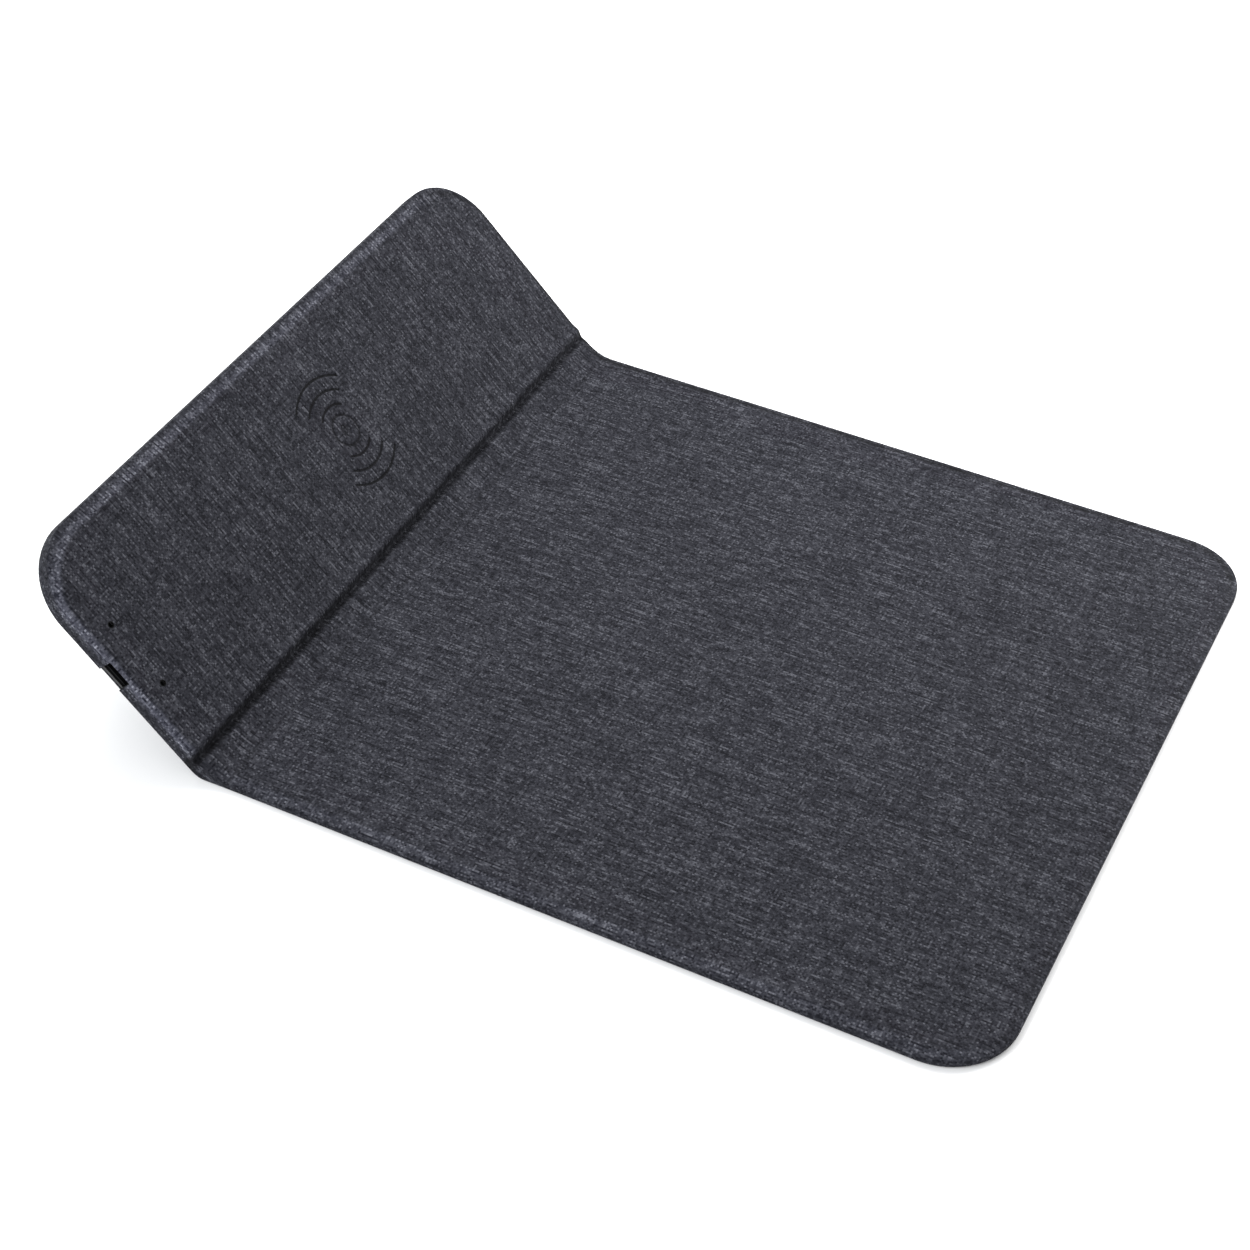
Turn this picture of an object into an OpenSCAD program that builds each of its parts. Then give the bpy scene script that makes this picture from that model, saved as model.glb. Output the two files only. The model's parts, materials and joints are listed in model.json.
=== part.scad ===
// Cloth-covered mouse mat with a fold-up wireless charging panel.
// The mat lies on the table. The panel stands up from one of its ends on a cloth fold.
// +Z is up and +X runs from the fold to the mat's free end.
// The origin is the middle of the mat's underside, which is what it rests on.

/* [Mat] */
// Width of the mat, along the fold
mat_width = 200; // [180:1:240]
// Length of the mat, from the fold's axis to its free end
mat_length = 202.8; // [150:0.1:260]
// Thickness of the mat, from the table to the top of the cloth
mat_thickness = 2.6; // [2.4:0.1:3]
// Radius of the two corners at the mat's free end
mat_corner_r = 18; // [10:0.5:30]
// Drop of the sloped rim from the mat's top
mat_rim_drop = 0.7; // [0.3:0.1:0.9]
// Distance from the fold's axis to the stiff board inside the mat
board_setback = 6.9; // [6.7:0.1:8]

/* [Panel] */
// Tilt of the charging panel, from lying flat
panel_tilt = 44.6; // [40:0.1:50]
// Width of the panel, along the fold
panel_width = 200.6; // [180:0.2:240]
// Reach of the panel, from the fold's axis to its outer edge
panel_reach = 65.4; // [60:0.1:80]
// Thickness of the panel
panel_thickness = 6.3; // [6.3:0.1:8]
// Height of the panel's front face over the fold's axis
front_height = 1.6; // [1.6:0.1:1.8]
// Distance from the fold's axis to the panel's lower end
panel_start = 3; // [2.8:0.1:3.5]
// Radius of the two corners at the panel's outer edge
panel_corner_r = 18; // [10:0.5:30]
// Drop of the sloped rim from the panel's front
panel_rim_drop = 0.9; // [0.5:0.1:1]

/* [Cloth and backing] */
// Thickness of the woven cover
cloth = 0.45; // [0.3:0.05:0.5]
// Width of the hem that is turned under the edges
hem = 9; // [6:0.5:12]
// Width of the sloped rim round the mat and the panel
rim = 2.5; // [1.5:0.1:3]
// How far the non-slip backing stands out under the hem
backing_stand = 0.2; // [0.1:0.05:0.3]
// Distance that the backing stays inside the outline
backing_inset = 0.9; // [0.6:0.1:2]

/* [Casing] */
// Thickness of the tray's floor
floor_thickness = 0.6; // [0.5:0.1:0.7]
// Thickness of the tray's walls
wall = 2.4; // [2:0.1:3]
// Thickness of the plate under the front cloth
plate_thickness = 0.6; // [0.5:0.1:0.6]

/* [Charging coil] */
// Distance of the coil's centre from the fold's axis
coil_u = 32.4; // [28:0.1:36]
// Offset of the coil's centre from the middle of the panel
coil_y = 4.9; // [0:0.1:10]
// Inner radius of the winding
coil_inner_r = 10; // [8:0.5:12]
// Number of turns in the winding
coil_turns = 10; // [6:1:10]
// Distance from one turn to the next
coil_pitch = 1.15; // [0.9:0.05:1.15]
// Width of the conductor
coil_wire = 1; // [0.6:0.05:1]

/* [Port and lights] */
// Distance of the port's middle from the fold's axis
port_u = 30.2; // [26:0.1:36]
// Width of the port's window in the panel's side
port_width = 7; // [6.8:0.1:8]
// Height of the port's window
port_height = 4.05; // [3.6:0.05:4.1]
// Distances of the two pinholes from the fold's axis
pinhole_u = [21.3, 40];
// Distance of the pinholes from the panel's side
pinhole_edge = 6.9; // [6:0.1:9]
// Diameter of the pinholes in the cloth
pinhole_d = 1.35; // [1.3:0.05:2]

/* [Hidden] */
$fn = 64;
hull_fn = 32;
thin = 0.01;
past = 1;

// The fold's axis: as high as the panel's back is behind it, so that the panel can lie flat.
fold_x = -mat_length / 2;
fold_z = panel_thickness - front_height;

// Levels in the mat, as heights over the table, with its x counted from the fold's axis.
mat_hem_top = backing_stand + cloth;
mat_foam_top = mat_thickness - cloth;
mat_foam_thickness = 0.6;
mat_board_top = mat_foam_top - mat_foam_thickness;
fold_end = 10.2;
base_start = 9;
fold_strip = 0.5;
board_inset = 1.6;
foam_inset = rim + 0.3;
inner_rim = rim + 0.2;

// Levels in the panel, as heights over the fold's axis, square to its front.
back = front_height - panel_thickness;
skirt_end = back + backing_stand;
tray_bottom = skirt_end + cloth;
tray_floor = tray_bottom + floor_thickness;
foam_top = front_height - cloth;
tray_top = foam_top - panel_rim_drop;
plate_top = tray_top + plate_thickness;
tray_inset = cloth + 0.1;
plate_inset = 2.1;
shell_start = panel_start + 0.2;
end_wall = 1.5;
rib = 1;
rib_spacing = 16;
first_rib_y = 40;
last_rib_y = 88;
seat_r = 20;
seat_wall = 1.2;
seat_gap = 10;
side_y = panel_width / 2;

// Levels of the coil and the circuit board.
glue = 0.1;
coil_height = 1;
coil_top = tray_top - glue;
ferrite_thickness = 0.6;
ferrite_size = 48;
slot_width = 1.2;
ferrite_top = coil_top - coil_height;
ferrite_bottom = ferrite_top - ferrite_thickness;
coil_outer_r = coil_inner_r + coil_turns * coil_pitch;
board_gap = 0.25;
pcb_thickness = 0.6;
pcb_bottom = tray_floor + board_gap;
pcb_top = pcb_bottom + pcb_thickness;
pcb_width = 34;
pcb_clearance = 0.2;
pcb_near = -side_y + tray_inset + wall + pcb_clearance;
pcb_far = -38;
post_d = 1.6;
post_hole_d = 1.8;
post_head_d = 2.8;
post_head = 0.4;
post_inset = 2.2;
post_from_port = 8;

// Parts on the board: their sizes, and how far they lie from the port's middle and from the board's near end.
chip_size = [5, 5, 0.85];
chip_along = 20;
transistor_size = [3.3, 3.3, 0.9];
transistor_spacing = 6;
transistor_along = 31;
resonance_size = [3.2, 4.5, 1.8];
resonance_spacing = 5;
resonance_along = 41;
inductor_size = [5, 5, 1.8];
inductor_place = [10, 19];
filter_size = [3.2, 1.6, 1.2];
filter_across = -10;
filter_along = [17, 21];
resistor_size = [1.6, 0.8, 0.5];
resistor_spacing = 4;
resistor_along = 26;
led_size = [1.6, 0.8, 0.7];

// The micro receptacle, with its tongue and contacts set back from its mouth.
shell_width = 7.4;
shell_height = 2.5;
shell_depth = 5;
shell_wall = 0.25;
shell_mid = pcb_top + shell_height / 2;
port_lip = 0.6;
shell_front = -side_y + tray_inset + port_lip;
nest_width = shell_width + 0.4;
nest_gap = 0.05;
window_bottom = front_height - panel_rim_drop - port_height;
tongue_width = 4.2;
tongue_thickness = 0.6;
tongue_set_back = 0.8;
tongue_top = shell_mid + 0.5;
contact_set_back = 1.2;
contact_height = 0.15;
contact_width = 0.4;
contact_pitch = 0.65;
contact_end_gap = 0.2;
pin_y = -side_y + pinhole_edge;
guide_d = 1.2;
guide_bore_d = 1.3;

cloth_grey = [0.24, 0.24, 0.27];
foam_grey = [0.35, 0.35, 0.36];
board_brown = [0.45, 0.38, 0.3];
rubber_black = [0.09, 0.09, 0.1];
plastic_black = [0.13, 0.13, 0.14];
copper = [0.72, 0.42, 0.2];
steel = [0.7, 0.71, 0.73];
solder_mask = [0.05, 0.3, 0.17];

// A plate's outline from x = near to x = far, with the two corners at the far end rounded.
module tab(near, far, width, r) {
  translate([near, -width / 2])
    square([far - r - near, width]);
  translate([near, r - width / 2])
    square([far - near, width - 2 * r]);
  for (side = [-1, 1])
    translate([far - r, side * (width / 2 - r)])
      circle(r = r);
}

// A flat layer with that outline, moved in from it by inset on its three free sides.
module layer(near, far, width, r, inset, bottom, top) {
  translate([0, 0, bottom])
    linear_extrude(height = top - bottom)
      tab(near, far - inset, width - 2 * inset, r - inset);
}

// A layer whose top slopes down by drop over its rim.
module rimmed(near, far, width, r, inset, edge, drop, bottom, top) {
  hull() {
    layer(near, far, width, r, inset, bottom, top - drop, $fn = hull_fn);
    layer(near, far, width, r, edge, top - thin, top, $fn = hull_fn);
  }
}

module mat_layer(near, inset, bottom, top) {
  translate([fold_x, 0, 0])
    layer(near, mat_length, mat_width, mat_corner_r, inset, bottom, top);
}

module panel_layer(near, inset, bottom, top) {
  layer(near, panel_reach, panel_width, panel_corner_r, inset, bottom, top);
}

// Places what is drawn with x up the panel from the fold's axis and z out of its front.
module on_panel() {
  translate([fold_x, 0, fold_z])
    rotate([0, panel_tilt, 0])
      mirror([1, 0, 0])
        children();
}

// The same, for what belongs at a point of the panel.
module at_panel(u, y, z) {
  on_panel()
    translate([u, y, z])
      children();
}

module box(size) {
  translate([-size[0] / 2, -size[1] / 2, 0])
    cube(size);
}

module mat_cover() {
  color(cloth_grey)
    difference() {
      translate([fold_x, 0, 0])
        rimmed(fold_end, mat_length, mat_width, mat_corner_r, 0, rim, mat_rim_drop,
               backing_stand, mat_thickness);
      translate([fold_x, 0, 0])
        rimmed(fold_end - past, mat_length, mat_width, mat_corner_r, cloth, inner_rim, mat_rim_drop,
               mat_hem_top, mat_foam_top);
      mat_layer(fold_end - past, hem, backing_stand - past, mat_hem_top + thin);
    }
}

module mat_foam() {
  color(foam_grey)
    mat_layer(board_setback, foam_inset, mat_board_top, mat_foam_top);
}

module mat_board() {
  color(board_brown)
    mat_layer(board_setback, board_inset, mat_hem_top, mat_board_top);
}

// The non-slip sheet under the mat, thicker inside the hem, where it meets the board.
module mat_base() {
  color(rubber_black) {
    mat_layer(base_start, backing_inset, 0, backing_stand);
    mat_layer(base_start, hem, backing_stand, mat_hem_top);
  }
}

// The cloth's line over the fold, as one cubic curve from the panel's lower end to the mat.
// It is drawn in x and z from the fold's axis.
up_panel = [-cos(panel_tilt), sin(panel_tilt)];
out_of_panel = [sin(panel_tilt), cos(panel_tilt)];
fold_top = panel_start * up_panel + front_height * out_of_panel;
fold_foot = [fold_end, mat_thickness - fold_z];
fold_curve = [fold_top, fold_top - 4 * up_panel, fold_foot - [5.6, 0], fold_foot];
fold_steps = 16;
foam_steps = 12;

function on_curve(p, t) =
  pow(1 - t, 3) * p[0] + 3 * pow(1 - t, 2) * t * p[1] + 3 * (1 - t) * pow(t, 2) * p[2] + pow(t, 3) * p[3];
function along_curve(p, t) =
  pow(1 - t, 2) * (p[1] - p[0]) + 2 * (1 - t) * t * (p[2] - p[1]) + pow(t, 2) * (p[3] - p[2]);
function inward(d) = [d[1], -d[0]] / norm(d);
function below_curve(t, depth) =
  on_curve(fold_curve, t) + depth * inward(along_curve(fold_curve, t));

// A band from one depth under the fold's line to another, over the first steps of it.
module fold_band(steps, shallow, deep, width) {
  outer = [for (i = [0 : steps]) below_curve(i / fold_steps, shallow)];
  inner = [for (i = [steps : -1 : 0]) below_curve(i / fold_steps, deep)];
  translate([fold_x, width / 2, fold_z])
    rotate([90, 0, 0])
      linear_extrude(height = width)
        polygon(concat(outer, inner));
}

module fold_cover() {
  color(cloth_grey)
    fold_band(fold_steps, 0, cloth, mat_width);
}

module fold_foam() {
  color(foam_grey)
    fold_band(foam_steps, cloth, 2 * cloth, mat_width - 2 * foam_inset);
}

// The backing's strip behind the fold: flat under the mat, round the axis, and up the panel's back.
module fold_backing() {
  bend = [for (a = [0 : panel_tilt / 8 : panel_tilt]) [-sin(a), -cos(a)]];
  turned = [for (i = [len(bend) - 1 : -1 : 0]) bend[i]];
  outer = [for (d = bend) fold_z * d];
  inner = [for (d = turned) (fold_z - fold_strip) * d];
  last = bend[len(bend) - 1];
  panel_end = [for (r = [fold_z, fold_z - fold_strip]) r * last + panel_start * up_panel];
  mat_end = [[base_start, fold_strip - fold_z], [base_start, -fold_z]];
  width = mat_width - 2 * backing_inset;
  color(rubber_black)
    translate([fold_x, width / 2, fold_z])
      rotate([90, 0, 0])
        linear_extrude(height = width)
          polygon(concat(outer, panel_end, inner, mat_end));
}

// The port's window, through everything in the panel's side.
module port_window(from_y, to_y) {
  translate([port_u - port_width / 2, from_y, window_bottom])
    cube([port_width, to_y - from_y, port_height]);
}

module pinholes(d, bottom, top) {
  for (u = pinhole_u)
    translate([u, pin_y, bottom])
      cylinder(d = d, h = top - bottom);
}

// The panel's cloth, wrapped round the casing and turned under.
// At the port it is cut away down to its lower edge.
module panel_cover() {
  color(cloth_grey)
    on_panel()
      difference() {
        rimmed(panel_start, panel_reach, panel_width, panel_corner_r, 0, rim, panel_rim_drop,
               skirt_end, front_height);
        rimmed(panel_start - past, panel_reach, panel_width, panel_corner_r, cloth, inner_rim,
               panel_rim_drop, tray_bottom, foam_top);
        panel_layer(panel_start - past, hem, skirt_end - past, tray_bottom + thin);
        port_window(-side_y - past, -side_y + tray_inset);
        translate([port_u - port_width / 2, -side_y - past, skirt_end - past])
          cube([port_width, past + backing_inset, window_bottom - skirt_end + 2 * past]);
        pinholes(pinhole_d, foam_top - past, front_height + past);
      }
}

module panel_foam() {
  color(foam_grey)
    on_panel()
      difference() {
        panel_layer(shell_start, foam_inset, plate_top, foam_top);
        pinholes(pinhole_d, plate_top - past, foam_top + past);
      }
}

module front_plate() {
  color(plastic_black)
    on_panel()
      difference() {
        panel_layer(shell_start, plate_inset, tray_top, plate_top);
        pinholes(guide_bore_d, tray_top - past, plate_top + past);
      }
}

// A post that is melted over the circuit board to hold it.
module board_post() {
  cylinder(d = post_d, h = pcb_top + post_head - tray_floor + thin);
  translate([0, 0, pcb_top - tray_floor])
    cylinder(d = post_head_d, h = post_head);
  cylinder(d = post_head_d, h = board_gap);
}

// Draws the same thing at each of the four posts.
module at_posts(z) {
  for (side = [-1, 1], y = [pcb_near + post_from_port, pcb_far - post_inset])
    translate([port_u + side * (pcb_width / 2 - post_inset), y, z])
      children();
}

// Ribs that hold the front plate up beyond the coil.
module tray_ribs() {
  inner = panel_reach - tray_inset - wall;
  start = shell_start + end_wall - thin;
  for (y = [first_rib_y : rib_spacing : last_rib_y])
    translate([start, y - rib / 2, tray_floor - thin])
      cube([inner + thin - start, rib, tray_top - tray_floor + thin]);
}

// The round seat that the ferrite lies on, open towards the board for the sensor's leads.
module coil_seat() {
  height = ferrite_bottom - tray_floor;
  translate([coil_u, coil_y, tray_floor - thin])
    difference() {
      cylinder(r = seat_r, h = height + thin);
      translate([0, 0, -past])
        cylinder(r = seat_r - seat_wall, h = height + 2 * past);
      translate([-seat_gap / 2, -seat_r - past, -past])
        cube([seat_gap, seat_r, height + 2 * past]);
    }
}

module rear_tray() {
  color(plastic_black)
    on_panel() {
      difference() {
        panel_layer(shell_start, tray_inset, tray_bottom, tray_top);
        panel_layer(shell_start + end_wall, tray_inset + wall, tray_floor, tray_top + past);
        port_window(-side_y - past, -side_y + tray_inset + wall + past);
        translate([port_u - nest_width / 2, shell_front - nest_gap, tray_floor])
          cube([nest_width, wall, tray_top - tray_floor + past]);
        translate([port_u - port_width / 2, -side_y, tray_bottom - past])
          cube([port_width, backing_inset, window_bottom - tray_bottom + past + thin]);
      }
      at_posts(tray_floor)
        board_post();
      tray_ribs();
      coil_seat();
    }
}

// The non-slip sheet on the panel's back, thicker inside the hem, where it meets the tray.
module panel_backing() {
  color(rubber_black)
    on_panel() {
      panel_layer(panel_start, backing_inset, back, skirt_end);
      panel_layer(panel_start, hem, skirt_end, tray_bottom);
    }
}

// One flat spiral conductor, from the inside out.
module coil_winding() {
  steps = 36;
  half = coil_wire / 2;
  function spiral(i, side) =
    let (a = 360 * i / steps, r = coil_inner_r + coil_pitch * i / steps + half + side * half)
      [r * cos(a), r * sin(a)];
  last = steps * coil_turns;
  color(copper)
    at_panel(coil_u, coil_y, ferrite_top)
      linear_extrude(height = coil_height)
        polygon(concat([for (i = [0 : last]) spiral(i, 1)], [for (i = [last : -1 : 0]) spiral(i, -1)]));
}

// A straight round wire from one point to another, with round ends.
module wire(a, b, d) {
  hull()
    for (p = [a, b])
      translate(p)
        sphere(d = d, $fn = wire_fn);
}

lead_d = 0.5;
wire_fn = 12;
wire_gap = 0.05;
lead_spread = 5;
lead_pads_y = pcb_far - 3;
lead_z = pcb_top + lead_d / 2 + wire_gap;
ferrite_mid = (ferrite_top + ferrite_bottom) / 2;

// The winding's two ends: the outer one leaves the rim, the inner one runs in the ferrite's slot.
module coil_leads() {
  inner_y = coil_y - coil_inner_r + slot_width;
  outer_y = coil_y - coil_outer_r - coil_wire - lead_d;
  clear_y = coil_y - ferrite_size / 2 - 1;
  outer_u = coil_u + lead_spread;
  coil_mid = coil_top - coil_height / 2;
  color(copper)
    on_panel() {
      wire([coil_u, inner_y, ferrite_mid], [coil_u, clear_y, ferrite_mid], lead_d);
      wire([coil_u, clear_y, ferrite_mid], [coil_u, lead_pads_y, lead_z], lead_d);
      wire([outer_u, outer_y, coil_mid], [outer_u, clear_y, coil_mid], lead_d);
      wire([outer_u, clear_y, coil_mid], [outer_u, lead_pads_y, lead_z], lead_d);
    }
}

// The ring of double-sided film that holds the winding to the front plate.
module coil_adhesive() {
  color([0.85, 0.8, 0.6])
    at_panel(coil_u, coil_y, coil_top)
      difference() {
        cylinder(r = coil_outer_r, h = glue);
        translate([0, 0, -past])
          cylinder(r = coil_inner_r, h = glue + 2 * past);
      }
}

module ferrite_shield() {
  slot_length = ferrite_size / 2 + past - coil_inner_r + 2 * slot_width;
  color([0.2, 0.2, 0.21])
    at_panel(coil_u, coil_y, ferrite_bottom)
      difference() {
        box([ferrite_size, ferrite_size, ferrite_thickness]);
        translate([-slot_width / 2, -ferrite_size / 2 - past, -past])
          cube([slot_width, slot_length, ferrite_thickness + 2 * past]);
      }
}

// The temperature sensor under the ferrite, with its two leads to the board.
module thermistor() {
  bead_d = 1.4;
  bead_z = ferrite_bottom - bead_d / 2 - wire_gap;
  half_gap = 0.4;
  leg_d = 0.3;
  color([0.75, 0.55, 0.15])
    on_panel() {
      translate([coil_u, coil_y, bead_z])
        sphere(d = bead_d);
      for (u = [coil_u - half_gap, coil_u + half_gap])
        wire([u, coil_y, bead_z], [u - lead_spread, lead_pads_y, lead_z], leg_d);
    }
}

module circuit_board() {
  color(solder_mask)
    on_panel()
      difference() {
        translate([port_u - pcb_width / 2, pcb_near, pcb_bottom])
          cube([pcb_width, pcb_far - pcb_near, pcb_thickness]);
        at_posts(pcb_bottom - past)
          cylinder(d = post_hole_d, h = pcb_thickness + 2 * past);
      }
}

// A part soldered to the board, at a distance from the port's middle and from the board's near end.
module on_board(across, along, size) {
  at_panel(port_u + across, pcb_near + along, pcb_top)
    box(size);
}

module control_chip() {
  color(plastic_black)
    on_board(0, chip_along, chip_size);
}

module bridge_transistors() {
  color(plastic_black)
    for (i = [-1.5 : 1.5])
      on_board(i * transistor_spacing, transistor_along, transistor_size);
}

module resonance_capacitors() {
  color([0.62, 0.5, 0.36])
    for (i = [-1.5 : 1.5])
      on_board(i * resonance_spacing, resonance_along, resonance_size);
}

module power_inductor() {
  color([0.3, 0.3, 0.31])
    on_board(inductor_place[0], inductor_place[1], inductor_size);
}

module filter_capacitors() {
  color([0.66, 0.52, 0.38])
    for (along = filter_along)
      on_board(filter_across, along, filter_size);
}

module resistors() {
  color([0.12, 0.12, 0.13])
    for (i = [-2 : 2])
      on_board(i * resistor_spacing, resistor_along, resistor_size);
}

// The port's shell: a short rectangular tube, closed at its inner end.
module usb_shell() {
  mouth = [shell_width - 2 * shell_wall, shell_depth + past - shell_wall, shell_height - 2 * shell_wall];
  color(steel)
    at_panel(port_u, shell_front, pcb_top)
      difference() {
        translate([-shell_width / 2, 0, 0])
          cube([shell_width, shell_depth, shell_height]);
        translate([-mouth[0] / 2, -past, shell_wall])
          cube(mouth);
      }
}

module usb_tongue() {
  color(plastic_black)
    at_panel(port_u, shell_front + tongue_set_back, tongue_top - tongue_thickness)
      translate([-tongue_width / 2, 0, 0])
        cube([tongue_width, shell_depth - shell_wall - tongue_set_back, tongue_thickness]);
}

module usb_contacts() {
  length = shell_depth - shell_wall - contact_set_back - contact_end_gap;
  color([0.85, 0.7, 0.3])
    for (i = [-2 : 2])
      at_panel(port_u + i * contact_pitch, shell_front + contact_set_back, tongue_top - tongue_thickness)
        translate([-contact_width / 2, 0, -contact_height])
          cube([contact_width, length, contact_height]);
}

module status_leds() {
  color([0.9, 0.92, 0.85])
    for (u = pinhole_u)
      at_panel(u, pin_y, pcb_top)
        box(led_size);
}

// Clear rods that carry the lights' glow to the pinholes.
module light_guides() {
  color([0.85, 0.9, 0.95])
    on_panel()
      pinholes(guide_d, pcb_top + led_size[2], plate_top);
}

mat_cover();
mat_foam();
mat_board();
mat_base();
fold_cover();
fold_foam();
fold_backing();
panel_cover();
panel_foam();
front_plate();
rear_tray();
panel_backing();
coil_winding();
coil_leads();
coil_adhesive();
ferrite_shield();
thermistor();
circuit_board();
control_chip();
bridge_transistors();
resonance_capacitors();
power_inductor();
filter_capacitors();
resistors();
usb_shell();
usb_tongue();
usb_contacts();
status_leds();
light_guides();
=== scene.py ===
import json
import math

import bpy
import numpy as np
from mathutils import Matrix, Vector


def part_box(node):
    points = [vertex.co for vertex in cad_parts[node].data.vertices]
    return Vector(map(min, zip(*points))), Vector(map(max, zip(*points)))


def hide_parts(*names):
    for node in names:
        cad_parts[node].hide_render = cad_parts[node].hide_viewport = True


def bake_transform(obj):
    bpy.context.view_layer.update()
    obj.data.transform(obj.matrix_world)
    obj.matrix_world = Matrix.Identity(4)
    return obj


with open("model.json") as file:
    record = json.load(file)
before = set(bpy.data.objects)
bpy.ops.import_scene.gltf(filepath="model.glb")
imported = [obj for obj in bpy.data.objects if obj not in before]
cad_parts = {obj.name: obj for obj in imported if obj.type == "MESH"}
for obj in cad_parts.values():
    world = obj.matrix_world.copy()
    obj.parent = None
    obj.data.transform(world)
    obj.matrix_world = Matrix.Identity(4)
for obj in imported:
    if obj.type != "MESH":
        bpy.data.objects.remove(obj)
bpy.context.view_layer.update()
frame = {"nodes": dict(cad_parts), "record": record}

MM = 0.001

# The frame: the fold's axis, the panel's tilt and the layers' levels.
RECORD = frame["record"]
FOLD = RECORD["behaviour"]["joints"][0]
MOUNTS = {mount["name"]: mount for mount in RECORD["mounts"]}
AXIS = np.array([FOLD["pos_m"][0], FOLD["pos_m"][2]])
OUT = np.array(MOUNTS["charging_face"]["axis"])[[0, 2]]
OUT = OUT / np.linalg.norm(OUT)
UP = np.array([-OUT[1], OUT[0]])


def reach_along(node, direction):
    """How far a CAD node reaches from the fold's axis, least and most, along a direction in x and z."""
    places = np.array([v.co for v in frame["nodes"][node].data.vertices])[:, [0, 2]]
    along = (places - AXIS) @ direction
    return along.min(), along.max()


PANEL_START, PANEL_REACH = reach_along("panel_cover", UP)
PANEL_SKIRT, PANEL_FRONT = reach_along("panel_cover", OUT)
PANEL_BACK = reach_along("panel_backing", OUT)[0]
PANEL_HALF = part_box("panel_cover")[1][1]
MAT_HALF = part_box("mat_cover")[1][1]
MAT_SKIRT, MAT_TOP = reach_along("mat_cover", np.array([0, 1]))
MAT_FLOOR = reach_along("mat_base", np.array([0, 1]))[0]
FOLD_END, MAT_REACH = reach_along("mat_cover", np.array([1, 0]))
BACKING_INSET = MAT_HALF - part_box("mat_base")[1][1]

# The cloth: its thickness, its hem, its corners and its sloped rim. The rim drops less along the far side.
CLOTH = 0.45 * MM
CORNER = 18 * MM
HEM = 9 * MM
FIELD_INSET = 4.4 * MM
PANEL_DROP = 1.15 * MM
PANEL_FAR_DROP = 0.45 * MM
MAT_DROP = 0.65 * MM
MAT_FAR_DROP = 0.35 * MM
PANEL_SIDE_RIM = 1.7 * MM
PANEL_END_RIM = 3.9 * MM
MAT_RIM = 3.1 * MM

# The layers under the cloth: their thicknesses, and how far inside the outline they end.
BACKING = MAT_SKIRT - MAT_FLOOR
BACKING_INSIDE = BACKING + CLOTH
PANEL_FOAM = 0.28 * MM
MAT_FOAM = 0.58 * MM
FOAM_GAP = 0.03 * MM
FOAM_CUT_BACK = 2.5 * MM
FOAM_INSET = FOAM_CUT_BACK + 0.3 * MM

# The marks on the cloth.
ICON = np.array(MOUNTS["charging_face"]["pos_m"])
ICON_UP = (ICON[[0, 2]] - AXIS) @ UP
ICON_S = PANEL_START - ICON_UP
ICON_Y = ICON[1]
ICON_DOT = 1.85 * MM
ICON_RING = 4.34 * MM
ICON_ARCS = [7.47 * MM, 11.6 * MM, 15.66 * MM]
ICON_SPREAD = math.radians(40)
ICON_LINE = 0.8 * MM
ICON_DEPTH = 0.3 * MM
VALLEY_S = 0.9 * MM
VALLEY_DEPTH = 1.7 * MM
VALLEY_WIDTH = 1.15 * MM
LIP_S = -1.5 * MM
LIP_HEIGHT = 0.45 * MM
LIP_WIDTH = 1.2 * MM
HELD_FROM_SIDE = 4 * MM
HELD_NEAR = 0.65
HELD_FAR = 0.2
PRESS_DEPTH = 0.14 * MM
PRESS_WIDTH = 0.4 * MM
PRESS_WANDER = 0.1 * MM
PRESS_TURNS = 240
WAVE = 0.02 * MM

# The port's window and the pinholes.
PORT = np.array(MOUNTS["power_port"]["pos_m"])
PORT_S = PANEL_START - (PORT[[0, 2]] - AXIS) @ UP
PORT_HALF = 3.5 * MM
PORT_BOTTOM = 4.95 * MM
HOLE_R = 0.675 * MM
GUIDE_R = 0.6 * MM
HOLE_UPS = [reach - sign * GUIDE_R for sign, reach in zip((-1, 1), reach_along("light_guides", UP))]
HOLE_S = sorted(PANEL_START - up for up in HOLE_UPS)
HOLE_Y = (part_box("light_guides")[0][1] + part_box("light_guides")[1][1]) / 2
HOLE_LINES = [0, 0.33 * MM, HOLE_R * 0.98, 1.3 * MM]


# ---------------------------------------------------------------- lines across the mat

def curve_points(steps=400):
    """The cloth's line over the fold, one cubic curve from the panel's lower end to the mat."""
    top = PANEL_START * UP + PANEL_FRONT * OUT
    foot = np.array([FOLD_END, MAT_TOP])
    control = [top, top - 4 * MM * UP, foot - np.array([5.6 * MM, 0]), foot]
    t = np.linspace(0, 1, steps)[:, None]
    weights = [(1 - t) ** 3, 3 * (1 - t) ** 2 * t, 3 * (1 - t) * t ** 2, t ** 3]
    return sum(weight * point for weight, point in zip(weights, control))


def lengths_along(points):
    return np.concatenate([[0], np.cumsum(np.linalg.norm(np.diff(points, axis=0), axis=1))])


CURVE = curve_points()
CURVE_AT = lengths_along(CURVE)
FOLD_LENGTH = CURVE_AT[-1]
S_FIRST = PANEL_START - PANEL_REACH
S_LAST = FOLD_LENGTH + MAT_REACH - FOLD_END
PRESS_S = np.interp(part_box("mat_board")[0][0] - AXIS[0], CURVE[:, 0], CURVE_AT)


def top_line(s):
    """The cloth's outer line, in x and z from the fold's axis.

    s is how far along the cloth a point lies: 0 at the panel's lower end, and growing to the mat."""
    s = np.asarray(s, float)[..., None]
    panel = (PANEL_START - s) * UP + PANEL_FRONT * OUT
    mat = np.concatenate([FOLD_END + s - FOLD_LENGTH, np.full_like(s, MAT_TOP)], axis=-1)
    fold = np.stack([np.interp(s[..., 0], CURVE_AT, CURVE[:, k]) for k in (0, 1)], axis=-1)
    return np.where(s < 0, panel, np.where(s > FOLD_LENGTH, mat, fold))


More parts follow.
